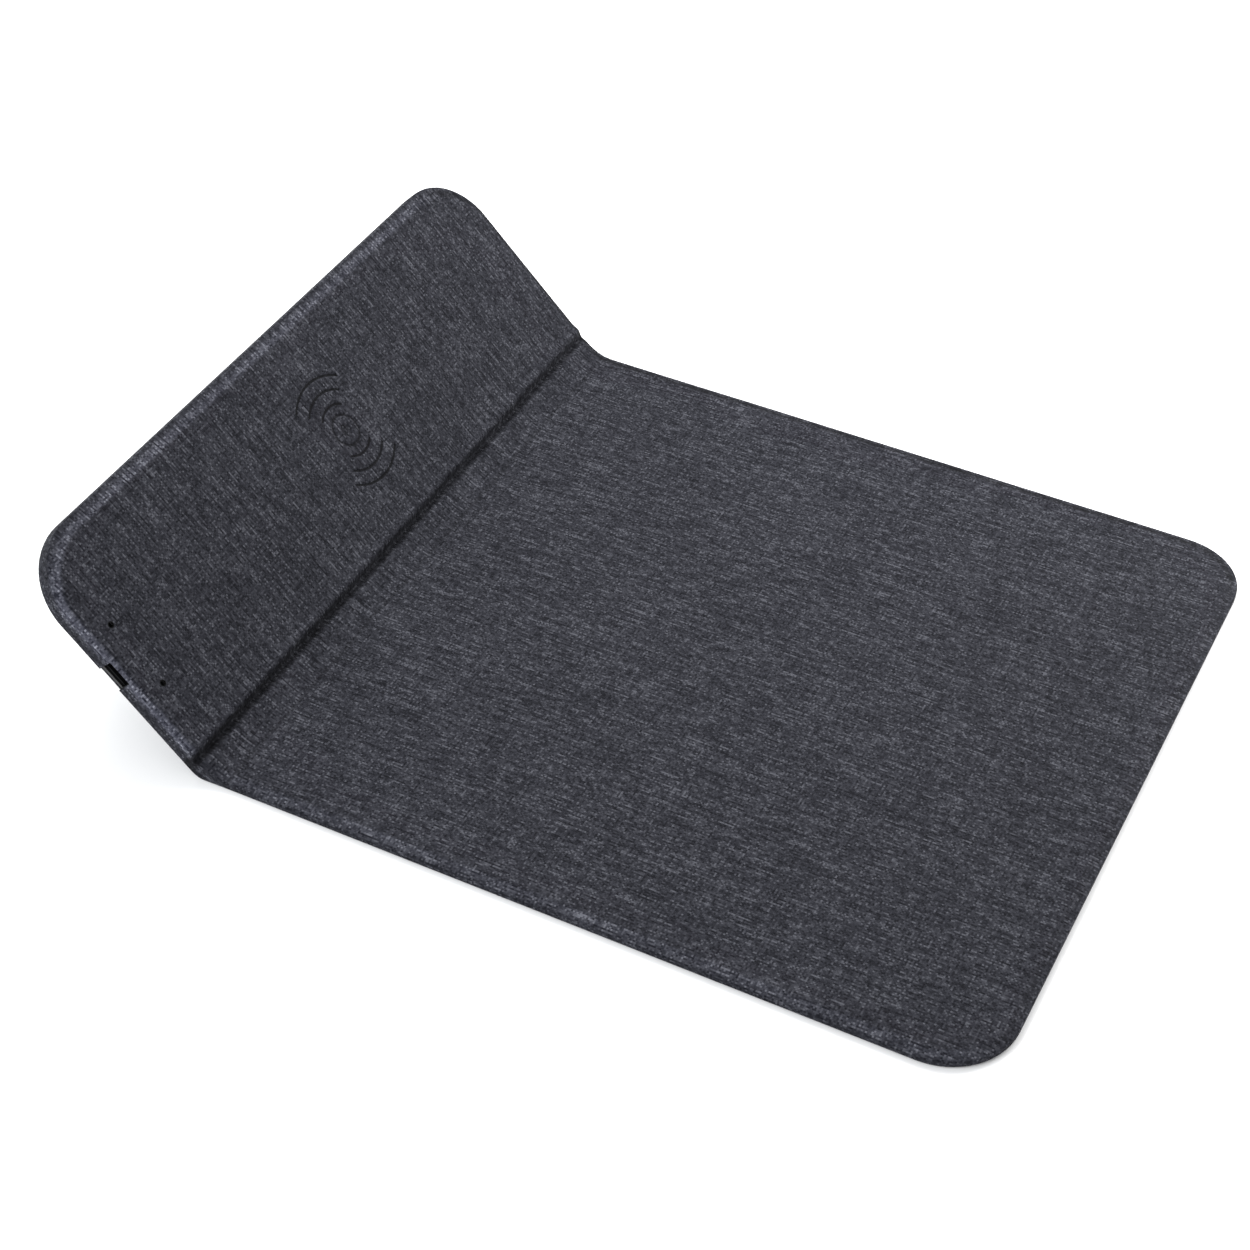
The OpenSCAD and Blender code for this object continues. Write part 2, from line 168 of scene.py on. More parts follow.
def turned(line, s, step=0.05 * MM):
    """The unit normal of a line, on its left as s grows."""
    along = line(s + step) - line(s - step)
    normal = np.stack([-along[..., 1], along[..., 0]], axis=-1)
    return normal / np.linalg.norm(normal, axis=-1, keepdims=True)


def under_line(panel_level, mat_level, length):
    """A line round the fold's outside: up the panel's back, round the axis, and along under the mat.

    It is a function of how far along it lies, counted from the panel's lower end."""
    tilt = math.atan2(OUT[0], OUT[1])
    arc = -panel_level * tilt

    def place(q):
        q = np.asarray(q, float)
        angle = np.clip(1 - (q - length) / arc, 0, 1) * tilt
        round_axis = -mat_level * np.stack([-np.sin(angle), -np.cos(angle)], axis=-1)
        up = np.clip(length - q, 0, None)[..., None] * UP
        level = np.clip(q - length - arc, 0, None)[..., None] * np.array([1.0, 0.0])
        return round_axis + up + level

    return place, length + arc


def smooth(t):
    t = np.clip(t, 0, 1)
    return t * t * (3 - 2 * t)


HEM_LINE, HEM_AXIS = under_line(PANEL_SKIRT, MAT_SKIRT, PANEL_START)
BACK_LINE, BACK_AXIS = under_line(PANEL_BACK, MAT_FLOOR, PANEL_START)


def hem_line(s):
    """The hem's lower line, across from the cloth's line at s."""
    share = (HEM_AXIS + FOLD_END) / FOLD_LENGTH
    q = np.where(s < 0, s, np.where(s > FOLD_LENGTH, s - FOLD_LENGTH + HEM_AXIS + FOLD_END, s * share))
    return HEM_LINE(q)


def drop_at(s, y):
    """How far the rim's foot lies under the face: less along the far side."""
    far = smooth(0.5 + y / MAT_HALF)
    panel = PANEL_DROP + (PANEL_FAR_DROP - PANEL_DROP) * far
    mat = MAT_DROP + (MAT_FAR_DROP - MAT_DROP) * far
    return panel + (mat - panel) * smooth(s / FOLD_LENGTH)


def half_at(s):
    return PANEL_HALF + (MAT_HALF - PANEL_HALF) * smooth(s / FOLD_LENGTH)


def rim_at(s):
    """The width of the sloped rim: wider at the panel's outer end than along its sides."""
    side = PANEL_SIDE_RIM + (MAT_RIM - PANEL_SIDE_RIM) * smooth(s / FOLD_LENGTH)
    return side + (PANEL_END_RIM - PANEL_SIDE_RIM) * smooth((S_FIRST + CORNER - s) / CORNER)


# ---------------------------------------------------------------- a grid with rounded corners

def ladder(stops):
    """Lines through every stop, each stretch split evenly into parts no longer than its own step."""
    lines = [stops[0][0]]
    for (start, step), (end, _) in zip(stops, stops[1:]):
        count = max(1, math.ceil((end - start) / step - 1e-6))
        lines += [start + (end - start) * k / count for k in range(1, count + 1)]
    return np.array(lines)


class Grid:
    """Rows along s and columns along y of a long rounded rectangle. Its corners are fans of the same grid."""

    def __init__(self, first, last, rows, columns, end_lines, side_lines, half, inset):
        self.half = half
        self.reach = CORNER - inset
        ends = [np.asarray(lines) / self.reach for lines in end_lines]
        sides = np.asarray(side_lines) / self.reach
        self.row_s = np.concatenate([
            np.full(len(ends[0]), first + CORNER), rows, np.full(len(ends[1]), last - CORNER)])
        self.row_end = np.concatenate([-ends[0][::-1], np.zeros(len(rows)), ends[1]])
        limits = np.zeros(len(columns))
        limits[0], limits[-1] = -1, 1
        self.column_y = np.concatenate([np.zeros(len(sides)), columns, np.zeros(len(sides))])
        self.column_side = np.concatenate([-np.ones(len(sides)), limits, np.ones(len(sides))])
        self.column_end = np.concatenate([-sides[::-1], np.zeros(len(columns)), sides])
        self.shape = (len(self.row_s), len(self.column_y))

    def flat(self, i, j, inset):
        """Where row i and column j lie on the flat cloth, with its edge moved in by inset."""
        a, b = self.row_end[i], self.column_end[j]
        big = np.maximum(abs(a), abs(b))
        safe = np.where(big > 0, big, 1)
        share = np.minimum(abs(a), abs(b)) / safe * math.pi / 4
        angle = np.where(abs(b) >= abs(a), share, math.pi / 2 - share)
        radius = big * (CORNER - inset)
        s = self.row_s[i] + np.sign(a) * radius * np.sin(angle)
        edge = self.column_side[j] * (self.half(self.row_s[i]) - CORNER)
        y = np.where(self.column_side[j] == 0, self.column_y[j], edge + np.sign(b) * radius * np.cos(angle))
        return s, y

    def field(self, inset):
        i, j = np.meshgrid(np.arange(self.shape[0]), np.arange(self.shape[1]), indexing="ij")
        return self.flat(i, j, inset)

    def loop(self):
        """The rows and columns of the points round the edge, in order."""
        r, c = self.shape
        down, across = np.arange(r - 1), np.arange(c - 1)
        i = np.concatenate([down, np.full(c - 1, r - 1), r - 1 - down, np.zeros(c - 1)])
        j = np.concatenate([np.zeros(r - 1), across, np.full(r - 1, c - 1), c - 1 - across])
        return i.astype(int), j.astype(int)


def field_faces(shape):
    index = np.arange(shape[0] * shape[1]).reshape(shape)
    return np.stack([index[:-1, :-1], index[1:, :-1], index[1:, 1:], index[:-1, 1:]], axis=-1)


def band_faces(inner, outer):
    """Faces between two loops of points, given by their numbers."""
    return np.stack([outer, np.roll(outer, -1), np.roll(inner, -1), inner], axis=-1)


def make_mesh(name, points, faces, flat):
    mesh = bpy.data.meshes.new(name)
    mesh.from_pydata(points.tolist(), [], [list(map(int, face)) for face in faces])
    coordinates = mesh.attributes.new("cloth_flat", "FLOAT_VECTOR", "POINT")
    coordinates.data.foreach_set("vector", np.asarray(flat, np.float32).ravel())
    mesh.validate()
    piece = bpy.data.objects.new(name, mesh)
    bpy.context.scene.collection.objects.link(piece)
    return piece


def drop_loose(points, faces, *others):
    """Leaves out the points that no face uses."""
    faces = np.asarray(faces)
    used = np.zeros(len(points), bool)
    used[faces.ravel()] = True
    number = np.cumsum(used) - 1
    return (points[used], number[faces], *(other[used] for other in others))


def apply_modifiers(piece):
    graph = bpy.context.evaluated_depsgraph_get()
    piece.data = bpy.data.meshes.new_from_object(piece.evaluated_get(graph), depsgraph=graph)
    piece.modifiers.clear()


def smooth_shading(piece, angle=40):
    piece.data.shade_smooth()
    piece.data.set_sharp_from_angle(angle=math.radians(angle))


# ---------------------------------------------------------------- the cloth

def hump(s, middle, width):
    return np.exp(-((s - middle) / width) ** 2)


def icon_mask(s, y):
    """1 on the icon's lines and 0 off them."""
    ds, dy = s - ICON_S, y - ICON_Y
    r = np.hypot(ds, dy)
    off_axis = np.arctan2(abs(dy), abs(ds))
    from_dot = r - ICON_DOT + ICON_LINE / 2
    from_ring = abs(r - ICON_RING)
    from_arcs = np.min([abs(r - arc) for arc in ICON_ARCS], axis=0) + (off_axis > ICON_SPREAD)
    nearest = np.minimum(np.minimum(from_dot, from_ring), from_arcs)
    return 1 - smooth((nearest - 0.25 * ICON_LINE) / (0.45 * ICON_LINE))


def waves(s, y):
    """The slight unevenness of cloth glued to a soft layer."""
    total = 0
    for along, across, phase in ((61, 37, 0.4), (113, -71, 1.9), (-47, 97, 3.1), (19, 23, 4.4)):
        total = total + np.sin(along * s + across * y + phase)
    return WAVE * total


def press_at(s, y):
    """The line pressed along the edge of the mat's board, stronger in some places than in others."""
    strength = 0.6 + 0.4 * np.sin(190 * y + 1) * np.sin(83 * y)
    return hump(s, PRESS_S + PRESS_WANDER * np.sin(PRESS_TURNS * y), PRESS_WIDTH) * strength


def relief(s, y):
    """How far the cloth stands out from its line. The valley is shallower where the sides hold it."""
    at_side = np.where(y < 0, HELD_NEAR, HELD_FAR)
    held = at_side + (1 - at_side) * smooth((half_at(s) - abs(y)) / HELD_FROM_SIDE)
    valley = -VALLEY_DEPTH * held * hump(s, VALLEY_S + 0.08 * MM * np.sin(150 * y), VALLEY_WIDTH)
    lip = LIP_HEIGHT * hump(s, LIP_S, LIP_WIDTH)
    marks = -ICON_DEPTH * icon_mask(s, y) - PRESS_DEPTH * press_at(s, y)
    return valley + lip + marks + waves(s, y)


def cloth_place(s, y, level, fade=1.0):
    """A point of the cloth. Level is 0 on the face, 1 at the rim's foot and 2 at the hem."""
    top, hem = top_line(s), hem_line(s)
    deep = np.linalg.norm(hem - top, axis=-1)
    drop = drop_at(s, y)
    depth = drop * min(level, 1) + (deep - drop) * max(level - 1, 0)
    place = AXIS + top + (hem - top) * (depth / deep)[..., None]
    place = place + turned(top_line, s) * (relief(s, y) * fade)[..., None]
    return np.stack([place[..., 0], y, place[..., 1]], axis=-1), depth


# Rings from the face to the hem's end: the distance in from the outline, as a share of the rim while the
# level is under 1 and in millimetres after it, and the level.
WINDOW_LEVEL = 1 + (PORT_BOTTOM - PANEL_DROP) / (PANEL_FRONT - PANEL_SKIRT - PANEL_DROP)
RINGS = [
    (1.05, 0.0), (0.99, 0.01), (0.93, 0.06), (0.82, 0.17), (0.66, 0.33), (0.5, 0.48), (0.33, 0.63),
    (0.17, 0.79), (0.08, 0.9), (0.07, 1.03), (0.01, 1.1), (0.0, 1.25), (0.0, 1.5), (0.0, WINDOW_LEVEL),
    (0.05, 1.9), (0.2, 1.98), (0.5, 2.0), (0.9, 2.0), (3.0, 2.0), (HEM / MM, 2.0)]
WINDOW_FIRST_RING = 8
WINDOW_LAST_RING = 17


def around(middle, offsets):
    return [middle + sign * offset for sign in (-1, 1) for offset in offsets]


def cloth_grid():
    fine, coarse = 0.35 * MM, 3 * MM
    first, last = S_FIRST + CORNER, S_LAST - CORNER
    icon_end = ICON_S + ICON_ARCS[-1] + ICON_LINE
    marks = {PORT_S - PORT_HALF, PORT_S + PORT_HALF}
    marks |= {PORT_S + side * (PORT_HALF - fine) for side in (-1, 1)}
    for hole in HOLE_S:
        marks |= set(around(hole, HOLE_LINES))
    stops = [(first, fine)] + [(mark, fine) for mark in sorted(marks)] + [
        (icon_end, 1.1 * MM), (-4 * MM, 0.4 * MM), (-2.6 * MM, 0.2 * MM), (3 * MM, 0.4 * MM),
        (0.45 * FOLD_LENGTH, 0.25 * MM), (0.95 * FOLD_LENGTH, 0.7 * MM), (FOLD_LENGTH + 3 * MM, coarse),
        (last, 0)]
    rows = ladder(stops)
    side = MAT_HALF - CORNER
    icon_half = ICON_ARCS[-1] * math.sin(ICON_SPREAD) + ICON_LINE
    columns = ladder([(-side, coarse), (ICON_Y - icon_half, fine), (ICON_Y + icon_half, coarse), (side, 0)])
    hole_from_side = -HOLE_Y - (PANEL_HALF - CORNER)
    across = sorted(set(around(hole_from_side, HOLE_LINES)))
    sides = ladder([(0, 2 * MM)] + [(line, 2 * MM) for line in across] + [(CORNER - FIELD_INSET, 0)])[1:]
    panel_end = ladder([(0, fine), (2 * MM, 1.7 * MM), (CORNER - FIELD_INSET, 0)])[1:]
    mat_end = ladder([(0, 1.7 * MM), (CORNER - FIELD_INSET, 0)])[1:]
    return Grid(S_FIRST, S_LAST, rows, columns, (panel_end, mat_end), sides, half_at, FIELD_INSET)


def punch_holes(s, y, faces):
    """Rounds the square of points at each pinhole into a circle, and says which faces are inside."""
    inside = np.zeros(faces.shape[:2], bool)
    for hole in HOLE_S:
        ds, dy = s - hole, y - HOLE_Y
        reach = np.maximum(abs(ds), abs(dy))
        rim = (reach > 0.8 * HOLE_R) & (reach < 1.05 * HOLE_R)
        angle = np.arctan2(dy, ds)
        s = np.where(rim, hole + HOLE_R * np.cos(angle), s)
        y = np.where(rim, HOLE_Y + HOLE_R * np.sin(angle), y)
        near = reach < 1.05 * HOLE_R
        inside |= near[:-1, :-1] & near[1:, :-1] & near[1:, 1:] & near[:-1, 1:]
    return s, y, ~inside


def in_window(s, y):
    return (abs(s - PORT_S) < PORT_HALF - 1e-6) & (y < 0)


def cloth_rings(grid):
    """Points, flat places and faces of the rim, the sides and the hem.

    Their numbers go on from the grid's own points."""
    i, j = grid.loop()
    count = grid.shape[0] * grid.shape[1]
    inner = i * grid.shape[1] + j
    points, flats, faces = [], [], []
    rim = rim_at(grid.flat(i, j, 0)[0])
    for number, (inset, level) in enumerate(RINGS):
        inset = inset * (rim if level < 1 else MM)
        s, y = grid.flat(i, j, inset)
        fade = 1 if level <= 1 else max(0, 2 - level)
        place, depth = cloth_place(s, y, level, fade)
        travel = inset if level < 1 else drop_at(s, y) - depth - (inset if level == 2 else 0)
        points.append(place)
        flats.append(np.stack([*grid.flat(i, j, travel), travel / rim], axis=-1))
        outer = count + number * len(i) + np.arange(len(i))
        middle = (s + np.roll(s, -1)) / 2
        keep = np.ones(len(i), bool)
        if WINDOW_FIRST_RING < number <= WINDOW_LAST_RING:
            keep = ~in_window(middle, (y + np.roll(y, -1)) / 2)
        faces.append(band_faces(inner, outer)[keep])
        inner = outer
    return points, flats, faces


def build_cloth():
    """The whole cover in one piece: the mat, the fold and the panel, with the rim, the sides and the hem."""
    grid = cloth_grid()
    s, y = grid.field(FIELD_INSET)
    faces = field_faces(grid.shape)
    s, y, solid = punch_holes(s, y, faces)
    place, _ = cloth_place(s, y, 0)
    flat = np.stack([s, y, 0 * s + FIELD_INSET / PANEL_SIDE_RIM], axis=-1)
    points, flats, ring_faces = cloth_rings(grid)
    points = np.concatenate([place.reshape(-1, 3), *points])
    flats = np.concatenate([flat.reshape(-1, 3), *flats])
    faces = np.concatenate([faces[solid], *ring_faces])
    points, faces, flats = drop_loose(points, faces, flats)
    piece = make_mesh("cloth_cover", points, faces, flats)
    solid = piece.modifiers.new("thickness", "SOLIDIFY")
    solid.thickness = CLOTH
    solid.offset = -1
    solid.use_even_offset = True
    solid.thickness_clamp = 1.0
    apply_modifiers(piece)
    smooth_shading(piece)
    return piece


# ---------------------------------------------------------------- the layers under the cloth

def slab(name, grid, place, outer_level, inner_level, facing_down, pierced=False):
    """A closed layer between two levels of a line, with square edges."""
    s, y = grid.field(0)
    faces = field_faces(grid.shape)
    solid = np.ones(faces.shape[:2], bool)
    if pierced:
        s, y, solid = punch_holes(s, y, faces)
    outer, inner = place(s, y, outer_level(s, y)), place(s, y, inner_level(s, y))
    count = s.size
    faces = faces[solid]
    edges = open_edges(faces)
    both = [faces, faces[:, ::-1] + count, np.stack(
        [edges[:, 1], edges[:, 0], edges[:, 0] + count, edges[:, 1] + count], axis=-1)]
    flat = np.stack([s, y, 0 * s], axis=-1).reshape(-1, 3)
    faces = np.concatenate(both)
    if facing_down:
        faces = faces[:, ::-1]
    points = np.concatenate([outer.reshape(-1, 3), inner.reshape(-1, 3)])
    points, faces, flats = drop_loose(points, faces, np.concatenate([flat, flat]))
    piece = make_mesh(name, points, faces, flats)
    smooth_shading(piece)
    return piece


def open_edges(faces):
    """The edges that only one face uses, in that face's direction."""
    edges = np.concatenate([faces[:, [k, (k + 1) % 4]] for k in range(4)])
    known = {tuple(edge) for edge in edges.tolist()}
    return np.array([edge for edge in edges.tolist() if (edge[1], edge[0]) not in known])


def on_line(line, inward):
    """Places points at a level in from a line, to its right or to its left."""
    def place(s, y, level):
        at = AXIS + line(s) + inward * turned(line, s) * np.asarray(level)[..., None]
        return np.stack([at[..., 0], y, at[..., 1]], axis=-1)
    return place


def build_backing():
    """The non-slip rubber sheet under the mat, round the fold and up the panel's back."""
    first = PANEL_START - PANEL_REACH + BACKING_INSET
    last = BACK_AXIS + MAT_REACH - BACKING_INSET
    inside = HEM - BACKING_INSET

    def half(s):
        return PANEL_HALF + (MAT_HALF - PANEL_HALF) * smooth(s / BACK_AXIS) - BACKING_INSET

    rows = ladder([(first + CORNER, 2.5 * MM), (0, 0.5 * MM), (PANEL_START, 0.25 * MM), (BACK_AXIS, 0.5 * MM),
                   (BACK_AXIS + 4 * MM, 4 * MM), (last - CORNER, 0)])
    side = MAT_HALF - BACKING_INSET - CORNER
    columns = ladder([(-side, 4 * MM), (side, 0)])
    end = ladder([(0, 2 * MM), (CORNER - inside - 0.4 * MM, 1), (CORNER - inside, 2 * MM), (CORNER, 0)])[1:]
    grid = Grid(first, last, rows, columns, (end, end), end, half, 0)

    def middle_level(s, y):
        return np.where(from_edge(s, y, first, last, half) > inside - 0.1 * MM, BACKING_INSIDE, BACKING)

    return slab("rubber_backing", grid, on_line(BACK_LINE, 1), lambda s, y: 0 * s, middle_level, True)


def from_edge(s, y, first, last, half):
    """How far a point lies inside the rounded outline."""
    over_s = np.maximum(first + CORNER - s, s - last + CORNER)
    over_y = abs(y) - half(s) + CORNER
    corner = np.hypot(np.maximum(over_s, 0), np.maximum(over_y, 0))
    return CORNER - np.where((over_s > 0) & (over_y > 0), corner, np.maximum(over_s, over_y))


def build_foam():
    """The soft layer under the cloth, thin over the panel's plate and pressed flat in the valley."""
    first, last = S_FIRST + FOAM_INSET, S_LAST - FOAM_INSET
    holes = sorted({line for hole in HOLE_S for line in around(hole, HOLE_LINES)})
    rows = ladder([(first + CORNER, 2 * MM)] + [(line, 2 * MM) for line in holes] + [
        (-3 * MM, 0.25 * MM), (3 * MM, 0.6 * MM), (FOLD_LENGTH, 4 * MM), (last - CORNER, 0)])

    def half(s):
        return half_at(s) - FOAM_INSET

    side = MAT_HALF - FOAM_INSET - CORNER
    hole_from_side = -HOLE_Y - (PANEL_HALF - FOAM_INSET - CORNER)
    across = sorted(set(around(hole_from_side, HOLE_LINES)))
    columns = ladder([(-side, 4 * MM), (side, 0)])
    sides = ladder([(0, 3 * MM)] + [(line, 3 * MM) for line in across] + [(CORNER, 0)])[1:]
    end = ladder([(0, 3 * MM), (CORNER, 0)])[1:]
    grid = Grid(first, last, rows, columns, (end, end), sides, half, 0)

    def outer_level(s, y):
        return CLOTH + FOAM_GAP - relief(s, y) - ICON_DEPTH * icon_mask(s, y)

    def inner_level(s, y):
        thickness = PANEL_FOAM + (MAT_FOAM - PANEL_FOAM) * smooth(s / FOLD_LENGTH)
        thickness = thickness * (1 - 0.6 * hump(s, VALLEY_S, 2 * VALLEY_WIDTH))
        return outer_level(s, y) + thickness

    return slab("foam_layer", grid, on_line(top_line, -1), outer_level, inner_level, False, True)


# ---------------------------------------------------------------- materials

class Shader:
    """A material's node tree, with short calls for the nodes that these materials use."""

    def __init__(self, name, roughness, **plain):
        self.material = bpy.data.materials.new(name)
        self.material.use_nodes = True
        self.tree = self.material.node_tree
        self.surface = self.tree.nodes["Principled BSDF"]
        self.surface.inputs["Roughness"].default_value = roughness
        for socket, value in plain.items():
            self.surface.inputs[socket.replace("_", " ")].default_value = value

    def add(self, kind, inputs=(), **settings):
        node = self.tree.nodes.new(kind)
        for setting, value in settings.items():
            setattr(node, setting, value)
        for key, value in dict(inputs).items():
            self.put(node.inputs[key], value)
        return node

    def put(self, socket, value):
        if isinstance(value, bpy.types.NodeSocket):
            self.tree.links.new(value, socket)
        else:
            socket.default_value = value

    def math(self, operation, a, b=0.0, clamp=False):
        node = self.add("ShaderNodeMath", {0: a, 1: b}, operation=operation, use_clamp=clamp)
        return node.outputs[0]

    def length(self, a, b):
        """How far a point lies from the origin, across two ways at right angles."""
        return self.math("SQRT", self.math("ADD", self.math("MULTIPLY", a, a), self.math("MULTIPLY", b, b)))

    def between(self, value, low, high, to_low=0.0, to_high=1.0, smooth_step=False):
        inputs = {"Value": value, "From Min": low, "From Max": high, "To Min": to_low, "To Max": to_high}
        kind = "SMOOTHSTEP" if smooth_step else "LINEAR"
        return self.add("ShaderNodeMapRange", inputs, interpolation_type=kind).outputs["Result"]

    def join(self, x, y=0.0, z=0.0):
        return self.add("ShaderNodeCombineXYZ", {"X": x, "Y": y, "Z": z}).outputs[0]

    def noise(self, vector, scale, detail=2.0, rough=0.5):
        inputs = {"Vector": vector, "Scale": scale, "Detail": detail, "Roughness": rough}
        return self.add("ShaderNodeTexNoise", inputs).outputs[0]

    def mix(self, factor, a, b, blend="MIX"):
        node = self.add("ShaderNodeMix", data_type="RGBA", blend_type=blend)
        self.put(node.inputs[0], factor)
        for socket, colour in ((node.inputs[6], a), (node.inputs[7], b)):
            self.put(socket, (*colour, 1) if isinstance(colour, tuple) else colour)
        return node.outputs[2]

    def ramp(self, factor, stops):
        node = self.add("ShaderNodeValToRGB", {"Fac": factor})
        elements = node.color_ramp.elements
        for place, colour in stops[2:]:
            elements.new(place)
        for element, (place, colour) in zip(elements, stops):
            element.position = place
            element.color = (*colour, 1)
        return node.outputs[0]

    def place(self):
        return self.add("ShaderNodeTexCoord").outputs["Object"]

    def flat(self):
        """The place on the flat cloth, s and y in metres, and how far in it is as a share of the rim."""
        vector = self.add("ShaderNodeAttribute", attribute_name="cloth_flat").outputs["Vector"]
        return self.add("ShaderNodeSeparateXYZ", {0: vector}).outputs

    def scaled(self, colour, factor):
        return self.add("ShaderNodeVectorMath", {0: colour, 1: self.join(factor, factor, factor)},
                        operation="MULTIPLY").outputs[0]

    def colour(self, value):
        self.put(self.surface.inputs["Base Color"], value)

    def roughness(self, value):
        self.put(self.surface.inputs["Roughness"], value)

    def bump(self, height, distance, strength=1.0):
        inputs = {"Height": height, "Distance": distance, "Strength": strength}
        self.put(self.surface.inputs["Normal"], self.add("ShaderNodeBump", inputs).outputs[0])


THREAD = 0.46 * MM
SLOW_STREAK = 9 * MM
QUICK_STREAK = 2.2 * MM
PILE = 0.05 * MM
# The icon's lines: partly dark pressed print, partly painted shade in their grooves.
PRINT_AND_GROOVE_SHADE_BLACK = (0.003, 0.003, 0.0035)
# Painted shade round the pinholes.
HOLE_RIM_SHADE_BLACK = (0.002, 0.002, 0.0022)
DYE = [
    (0.0, (0.0053, 0.0055, 0.0079)), (0.25, (0.0111, 0.0114, 0.0150)), (0.5, (0.0199, 0.0204, 0.0260)),
    (0.75, (0.0350, 0.0358, 0.0434)), (1.0, (0.0715, 0.0732, 0.0855))]

# How much painted highlight and painted shade the cloth has: paler at its near and outer edges, darker at its
# far and right ones, in the valley from near to far, and in the pressed line. The bands say where the painted
# highlight at the edge starts, is full, stops being full and ends, in shares of the rim.
SIDE_PAINTED_HIGHLIGHT = 2.5
OUTER_PAINTED_HIGHLIGHT = 0.85
MAT_PAINTED_HIGHLIGHT = 0.52
FAR_PAINTED_SHADE = 0.5
RIGHT_PAINTED_SHADE = 0.12
VALLEY_PAINTED_SHADE = (0.64, 0.36)
PRESS_PAINTED_SHADE = 0.24
SIDE_HIGHLIGHT_BAND = (-1.6, 0.2, 0.35, 0.95)
OUTER_HIGHLIGHT_BAND = (0.15, 0.65, 0.78, 1.12)


def icon_lines(look, s, y):
    """1 on the icon's lines, as icon_mask has it, from the flat places s and y.
    Their near-black colour is partly the icon's dark pressed print and partly painted shade in its grooves.
    """
    ds = look.math("SUBTRACT", s, ICON_S)
    dy = look.math("SUBTRACT", y, ICON_Y)
    r = look.length(ds, dy)
    along = look.math("DIVIDE", look.math("ABSOLUTE", ds), look.math("MAXIMUM", r, 1e-6))
    nearest = None
    for arc in ICON_ARCS:
        gap = look.math("ABSOLUTE", look.math("SUBTRACT", r, arc))
        nearest = gap if nearest is None else look.math("MINIMUM", nearest, gap)
    beyond = look.math("LESS_THAN", along, math.cos(ICON_SPREAD))
    nearest = look.math("ADD", nearest, beyond)
    ring = look.math("ABSOLUTE", look.math("SUBTRACT", r, ICON_RING))
    dot = look.math("SUBTRACT", r, ICON_DOT - ICON_LINE / 2)
    marks = None
    for gap, strength in ((nearest, 0.85), (ring, 0.62), (dot, 0.35)):
        mark = look.between(gap, 0.3 * ICON_LINE, 0.55 * ICON_LINE, strength, 0, True)
        marks = mark if marks is None else look.math("MAXIMUM", marks, mark)
    return marks


def threads(look, along, across, seed):
    """Threads that run along one way: their number, their roundness, and their shade from about -1 to 1."""
    count = look.math("DIVIDE", across, THREAD)
    number = look.math("FLOOR", count)
    round_top = look.math("SINE", look.math("MULTIPLY", look.math("FRACT", count), math.pi))
    shades = []
    for length, apart in ((SLOW_STREAK, 17.3), (QUICK_STREAK, 9.1)):
        where = look.join(look.math("DIVIDE", along, length), look.math("MULTIPLY", number, apart), seed)
        shades.append(look.between(look.noise(where, 1.0, 1.0), 0.2, 0.8, -1, 1))
    return number, round_top, shades


def cloth_material():
    """Heather linen-look cloth: long streaks along s, weaker ones across, and a grain at each crossing."""
    look = Shader("heather_cloth", 0.7, Sheen_Weight=0.02, Sheen_Roughness=0.4, Specular_IOR_Level=0.05)
    s, y, inward = look.flat()
    warp_number, warp_round, (warp_slow, warp_quick) = threads(look, s, y, 3.0)
    weft_number, weft_round, (weft_slow, weft_quick) = threads(look, y, s, 31.0)
    parity = look.math("PINGPONG", look.math("ADD", warp_number, weft_number), 1.0)
    over = look.between(parity, 0, 1, 0.3, 0.8)
    under = look.math("SUBTRACT", 1.0, over)
    crossing = look.join(look.math("MULTIPLY", warp_number, 1.37), look.math("MULTIPLY", weft_number, 1.71))
    grain = look.between(look.noise(crossing, 1.0, 0.0), 0.25, 0.75, -1, 1)
    shade = 0.5
    for weight, value in ((0.62, look.math("MULTIPLY", warp_slow, over)), (0.26, warp_quick), (0.36, grain),
                          (0.30, look.math("MULTIPLY", weft_slow, under)), (0.13, weft_quick)):
        shade = look.math("ADD", shade, look.math("MULTIPLY", value, weight))
    slub = look.between(warp_slow, 0.45, 0.85, 0, 0.16, True)
    shade = look.math("ADD", shade, look.math("MULTIPLY", slub, over))
    broad = look.noise(look.join(s, y), 25.0, 1.0)
    shade = look.math("ADD", shade, look.between(broad, 0.3, 0.7, -0.015, 0.015), clamp=True)
    colour = look.ramp(shade, DYE)
    height = look.math("ADD", look.math("MULTIPLY", warp_round, over),
                       look.math("MULTIPLY", weft_round, under))
    # The low places between the threads are coloured up to 15% darker: painted shade.
    gap_shade = look.between(height, 0.0, 0.7, 0.85, 1.0)
    colour = look.mix(1.0, colour, look.join(gap_shade, gap_shade, gap_shade), "MULTIPLY")
    colour = look.scaled(colour, edge_painted_light(look, s, y, inward))
    colour = look.scaled(colour, fold_painted_shade(look, s, y))
    colour = look.mix(icon_lines(look, s, y), colour, PRINT_AND_GROOVE_SHADE_BLACK)
    colour = look.mix(hole_rim_painted_shade(look, s, y), colour, HOLE_RIM_SHADE_BLACK)
    look.colour(colour)
    look.bump(height, PILE, 0.5)
    return look.material


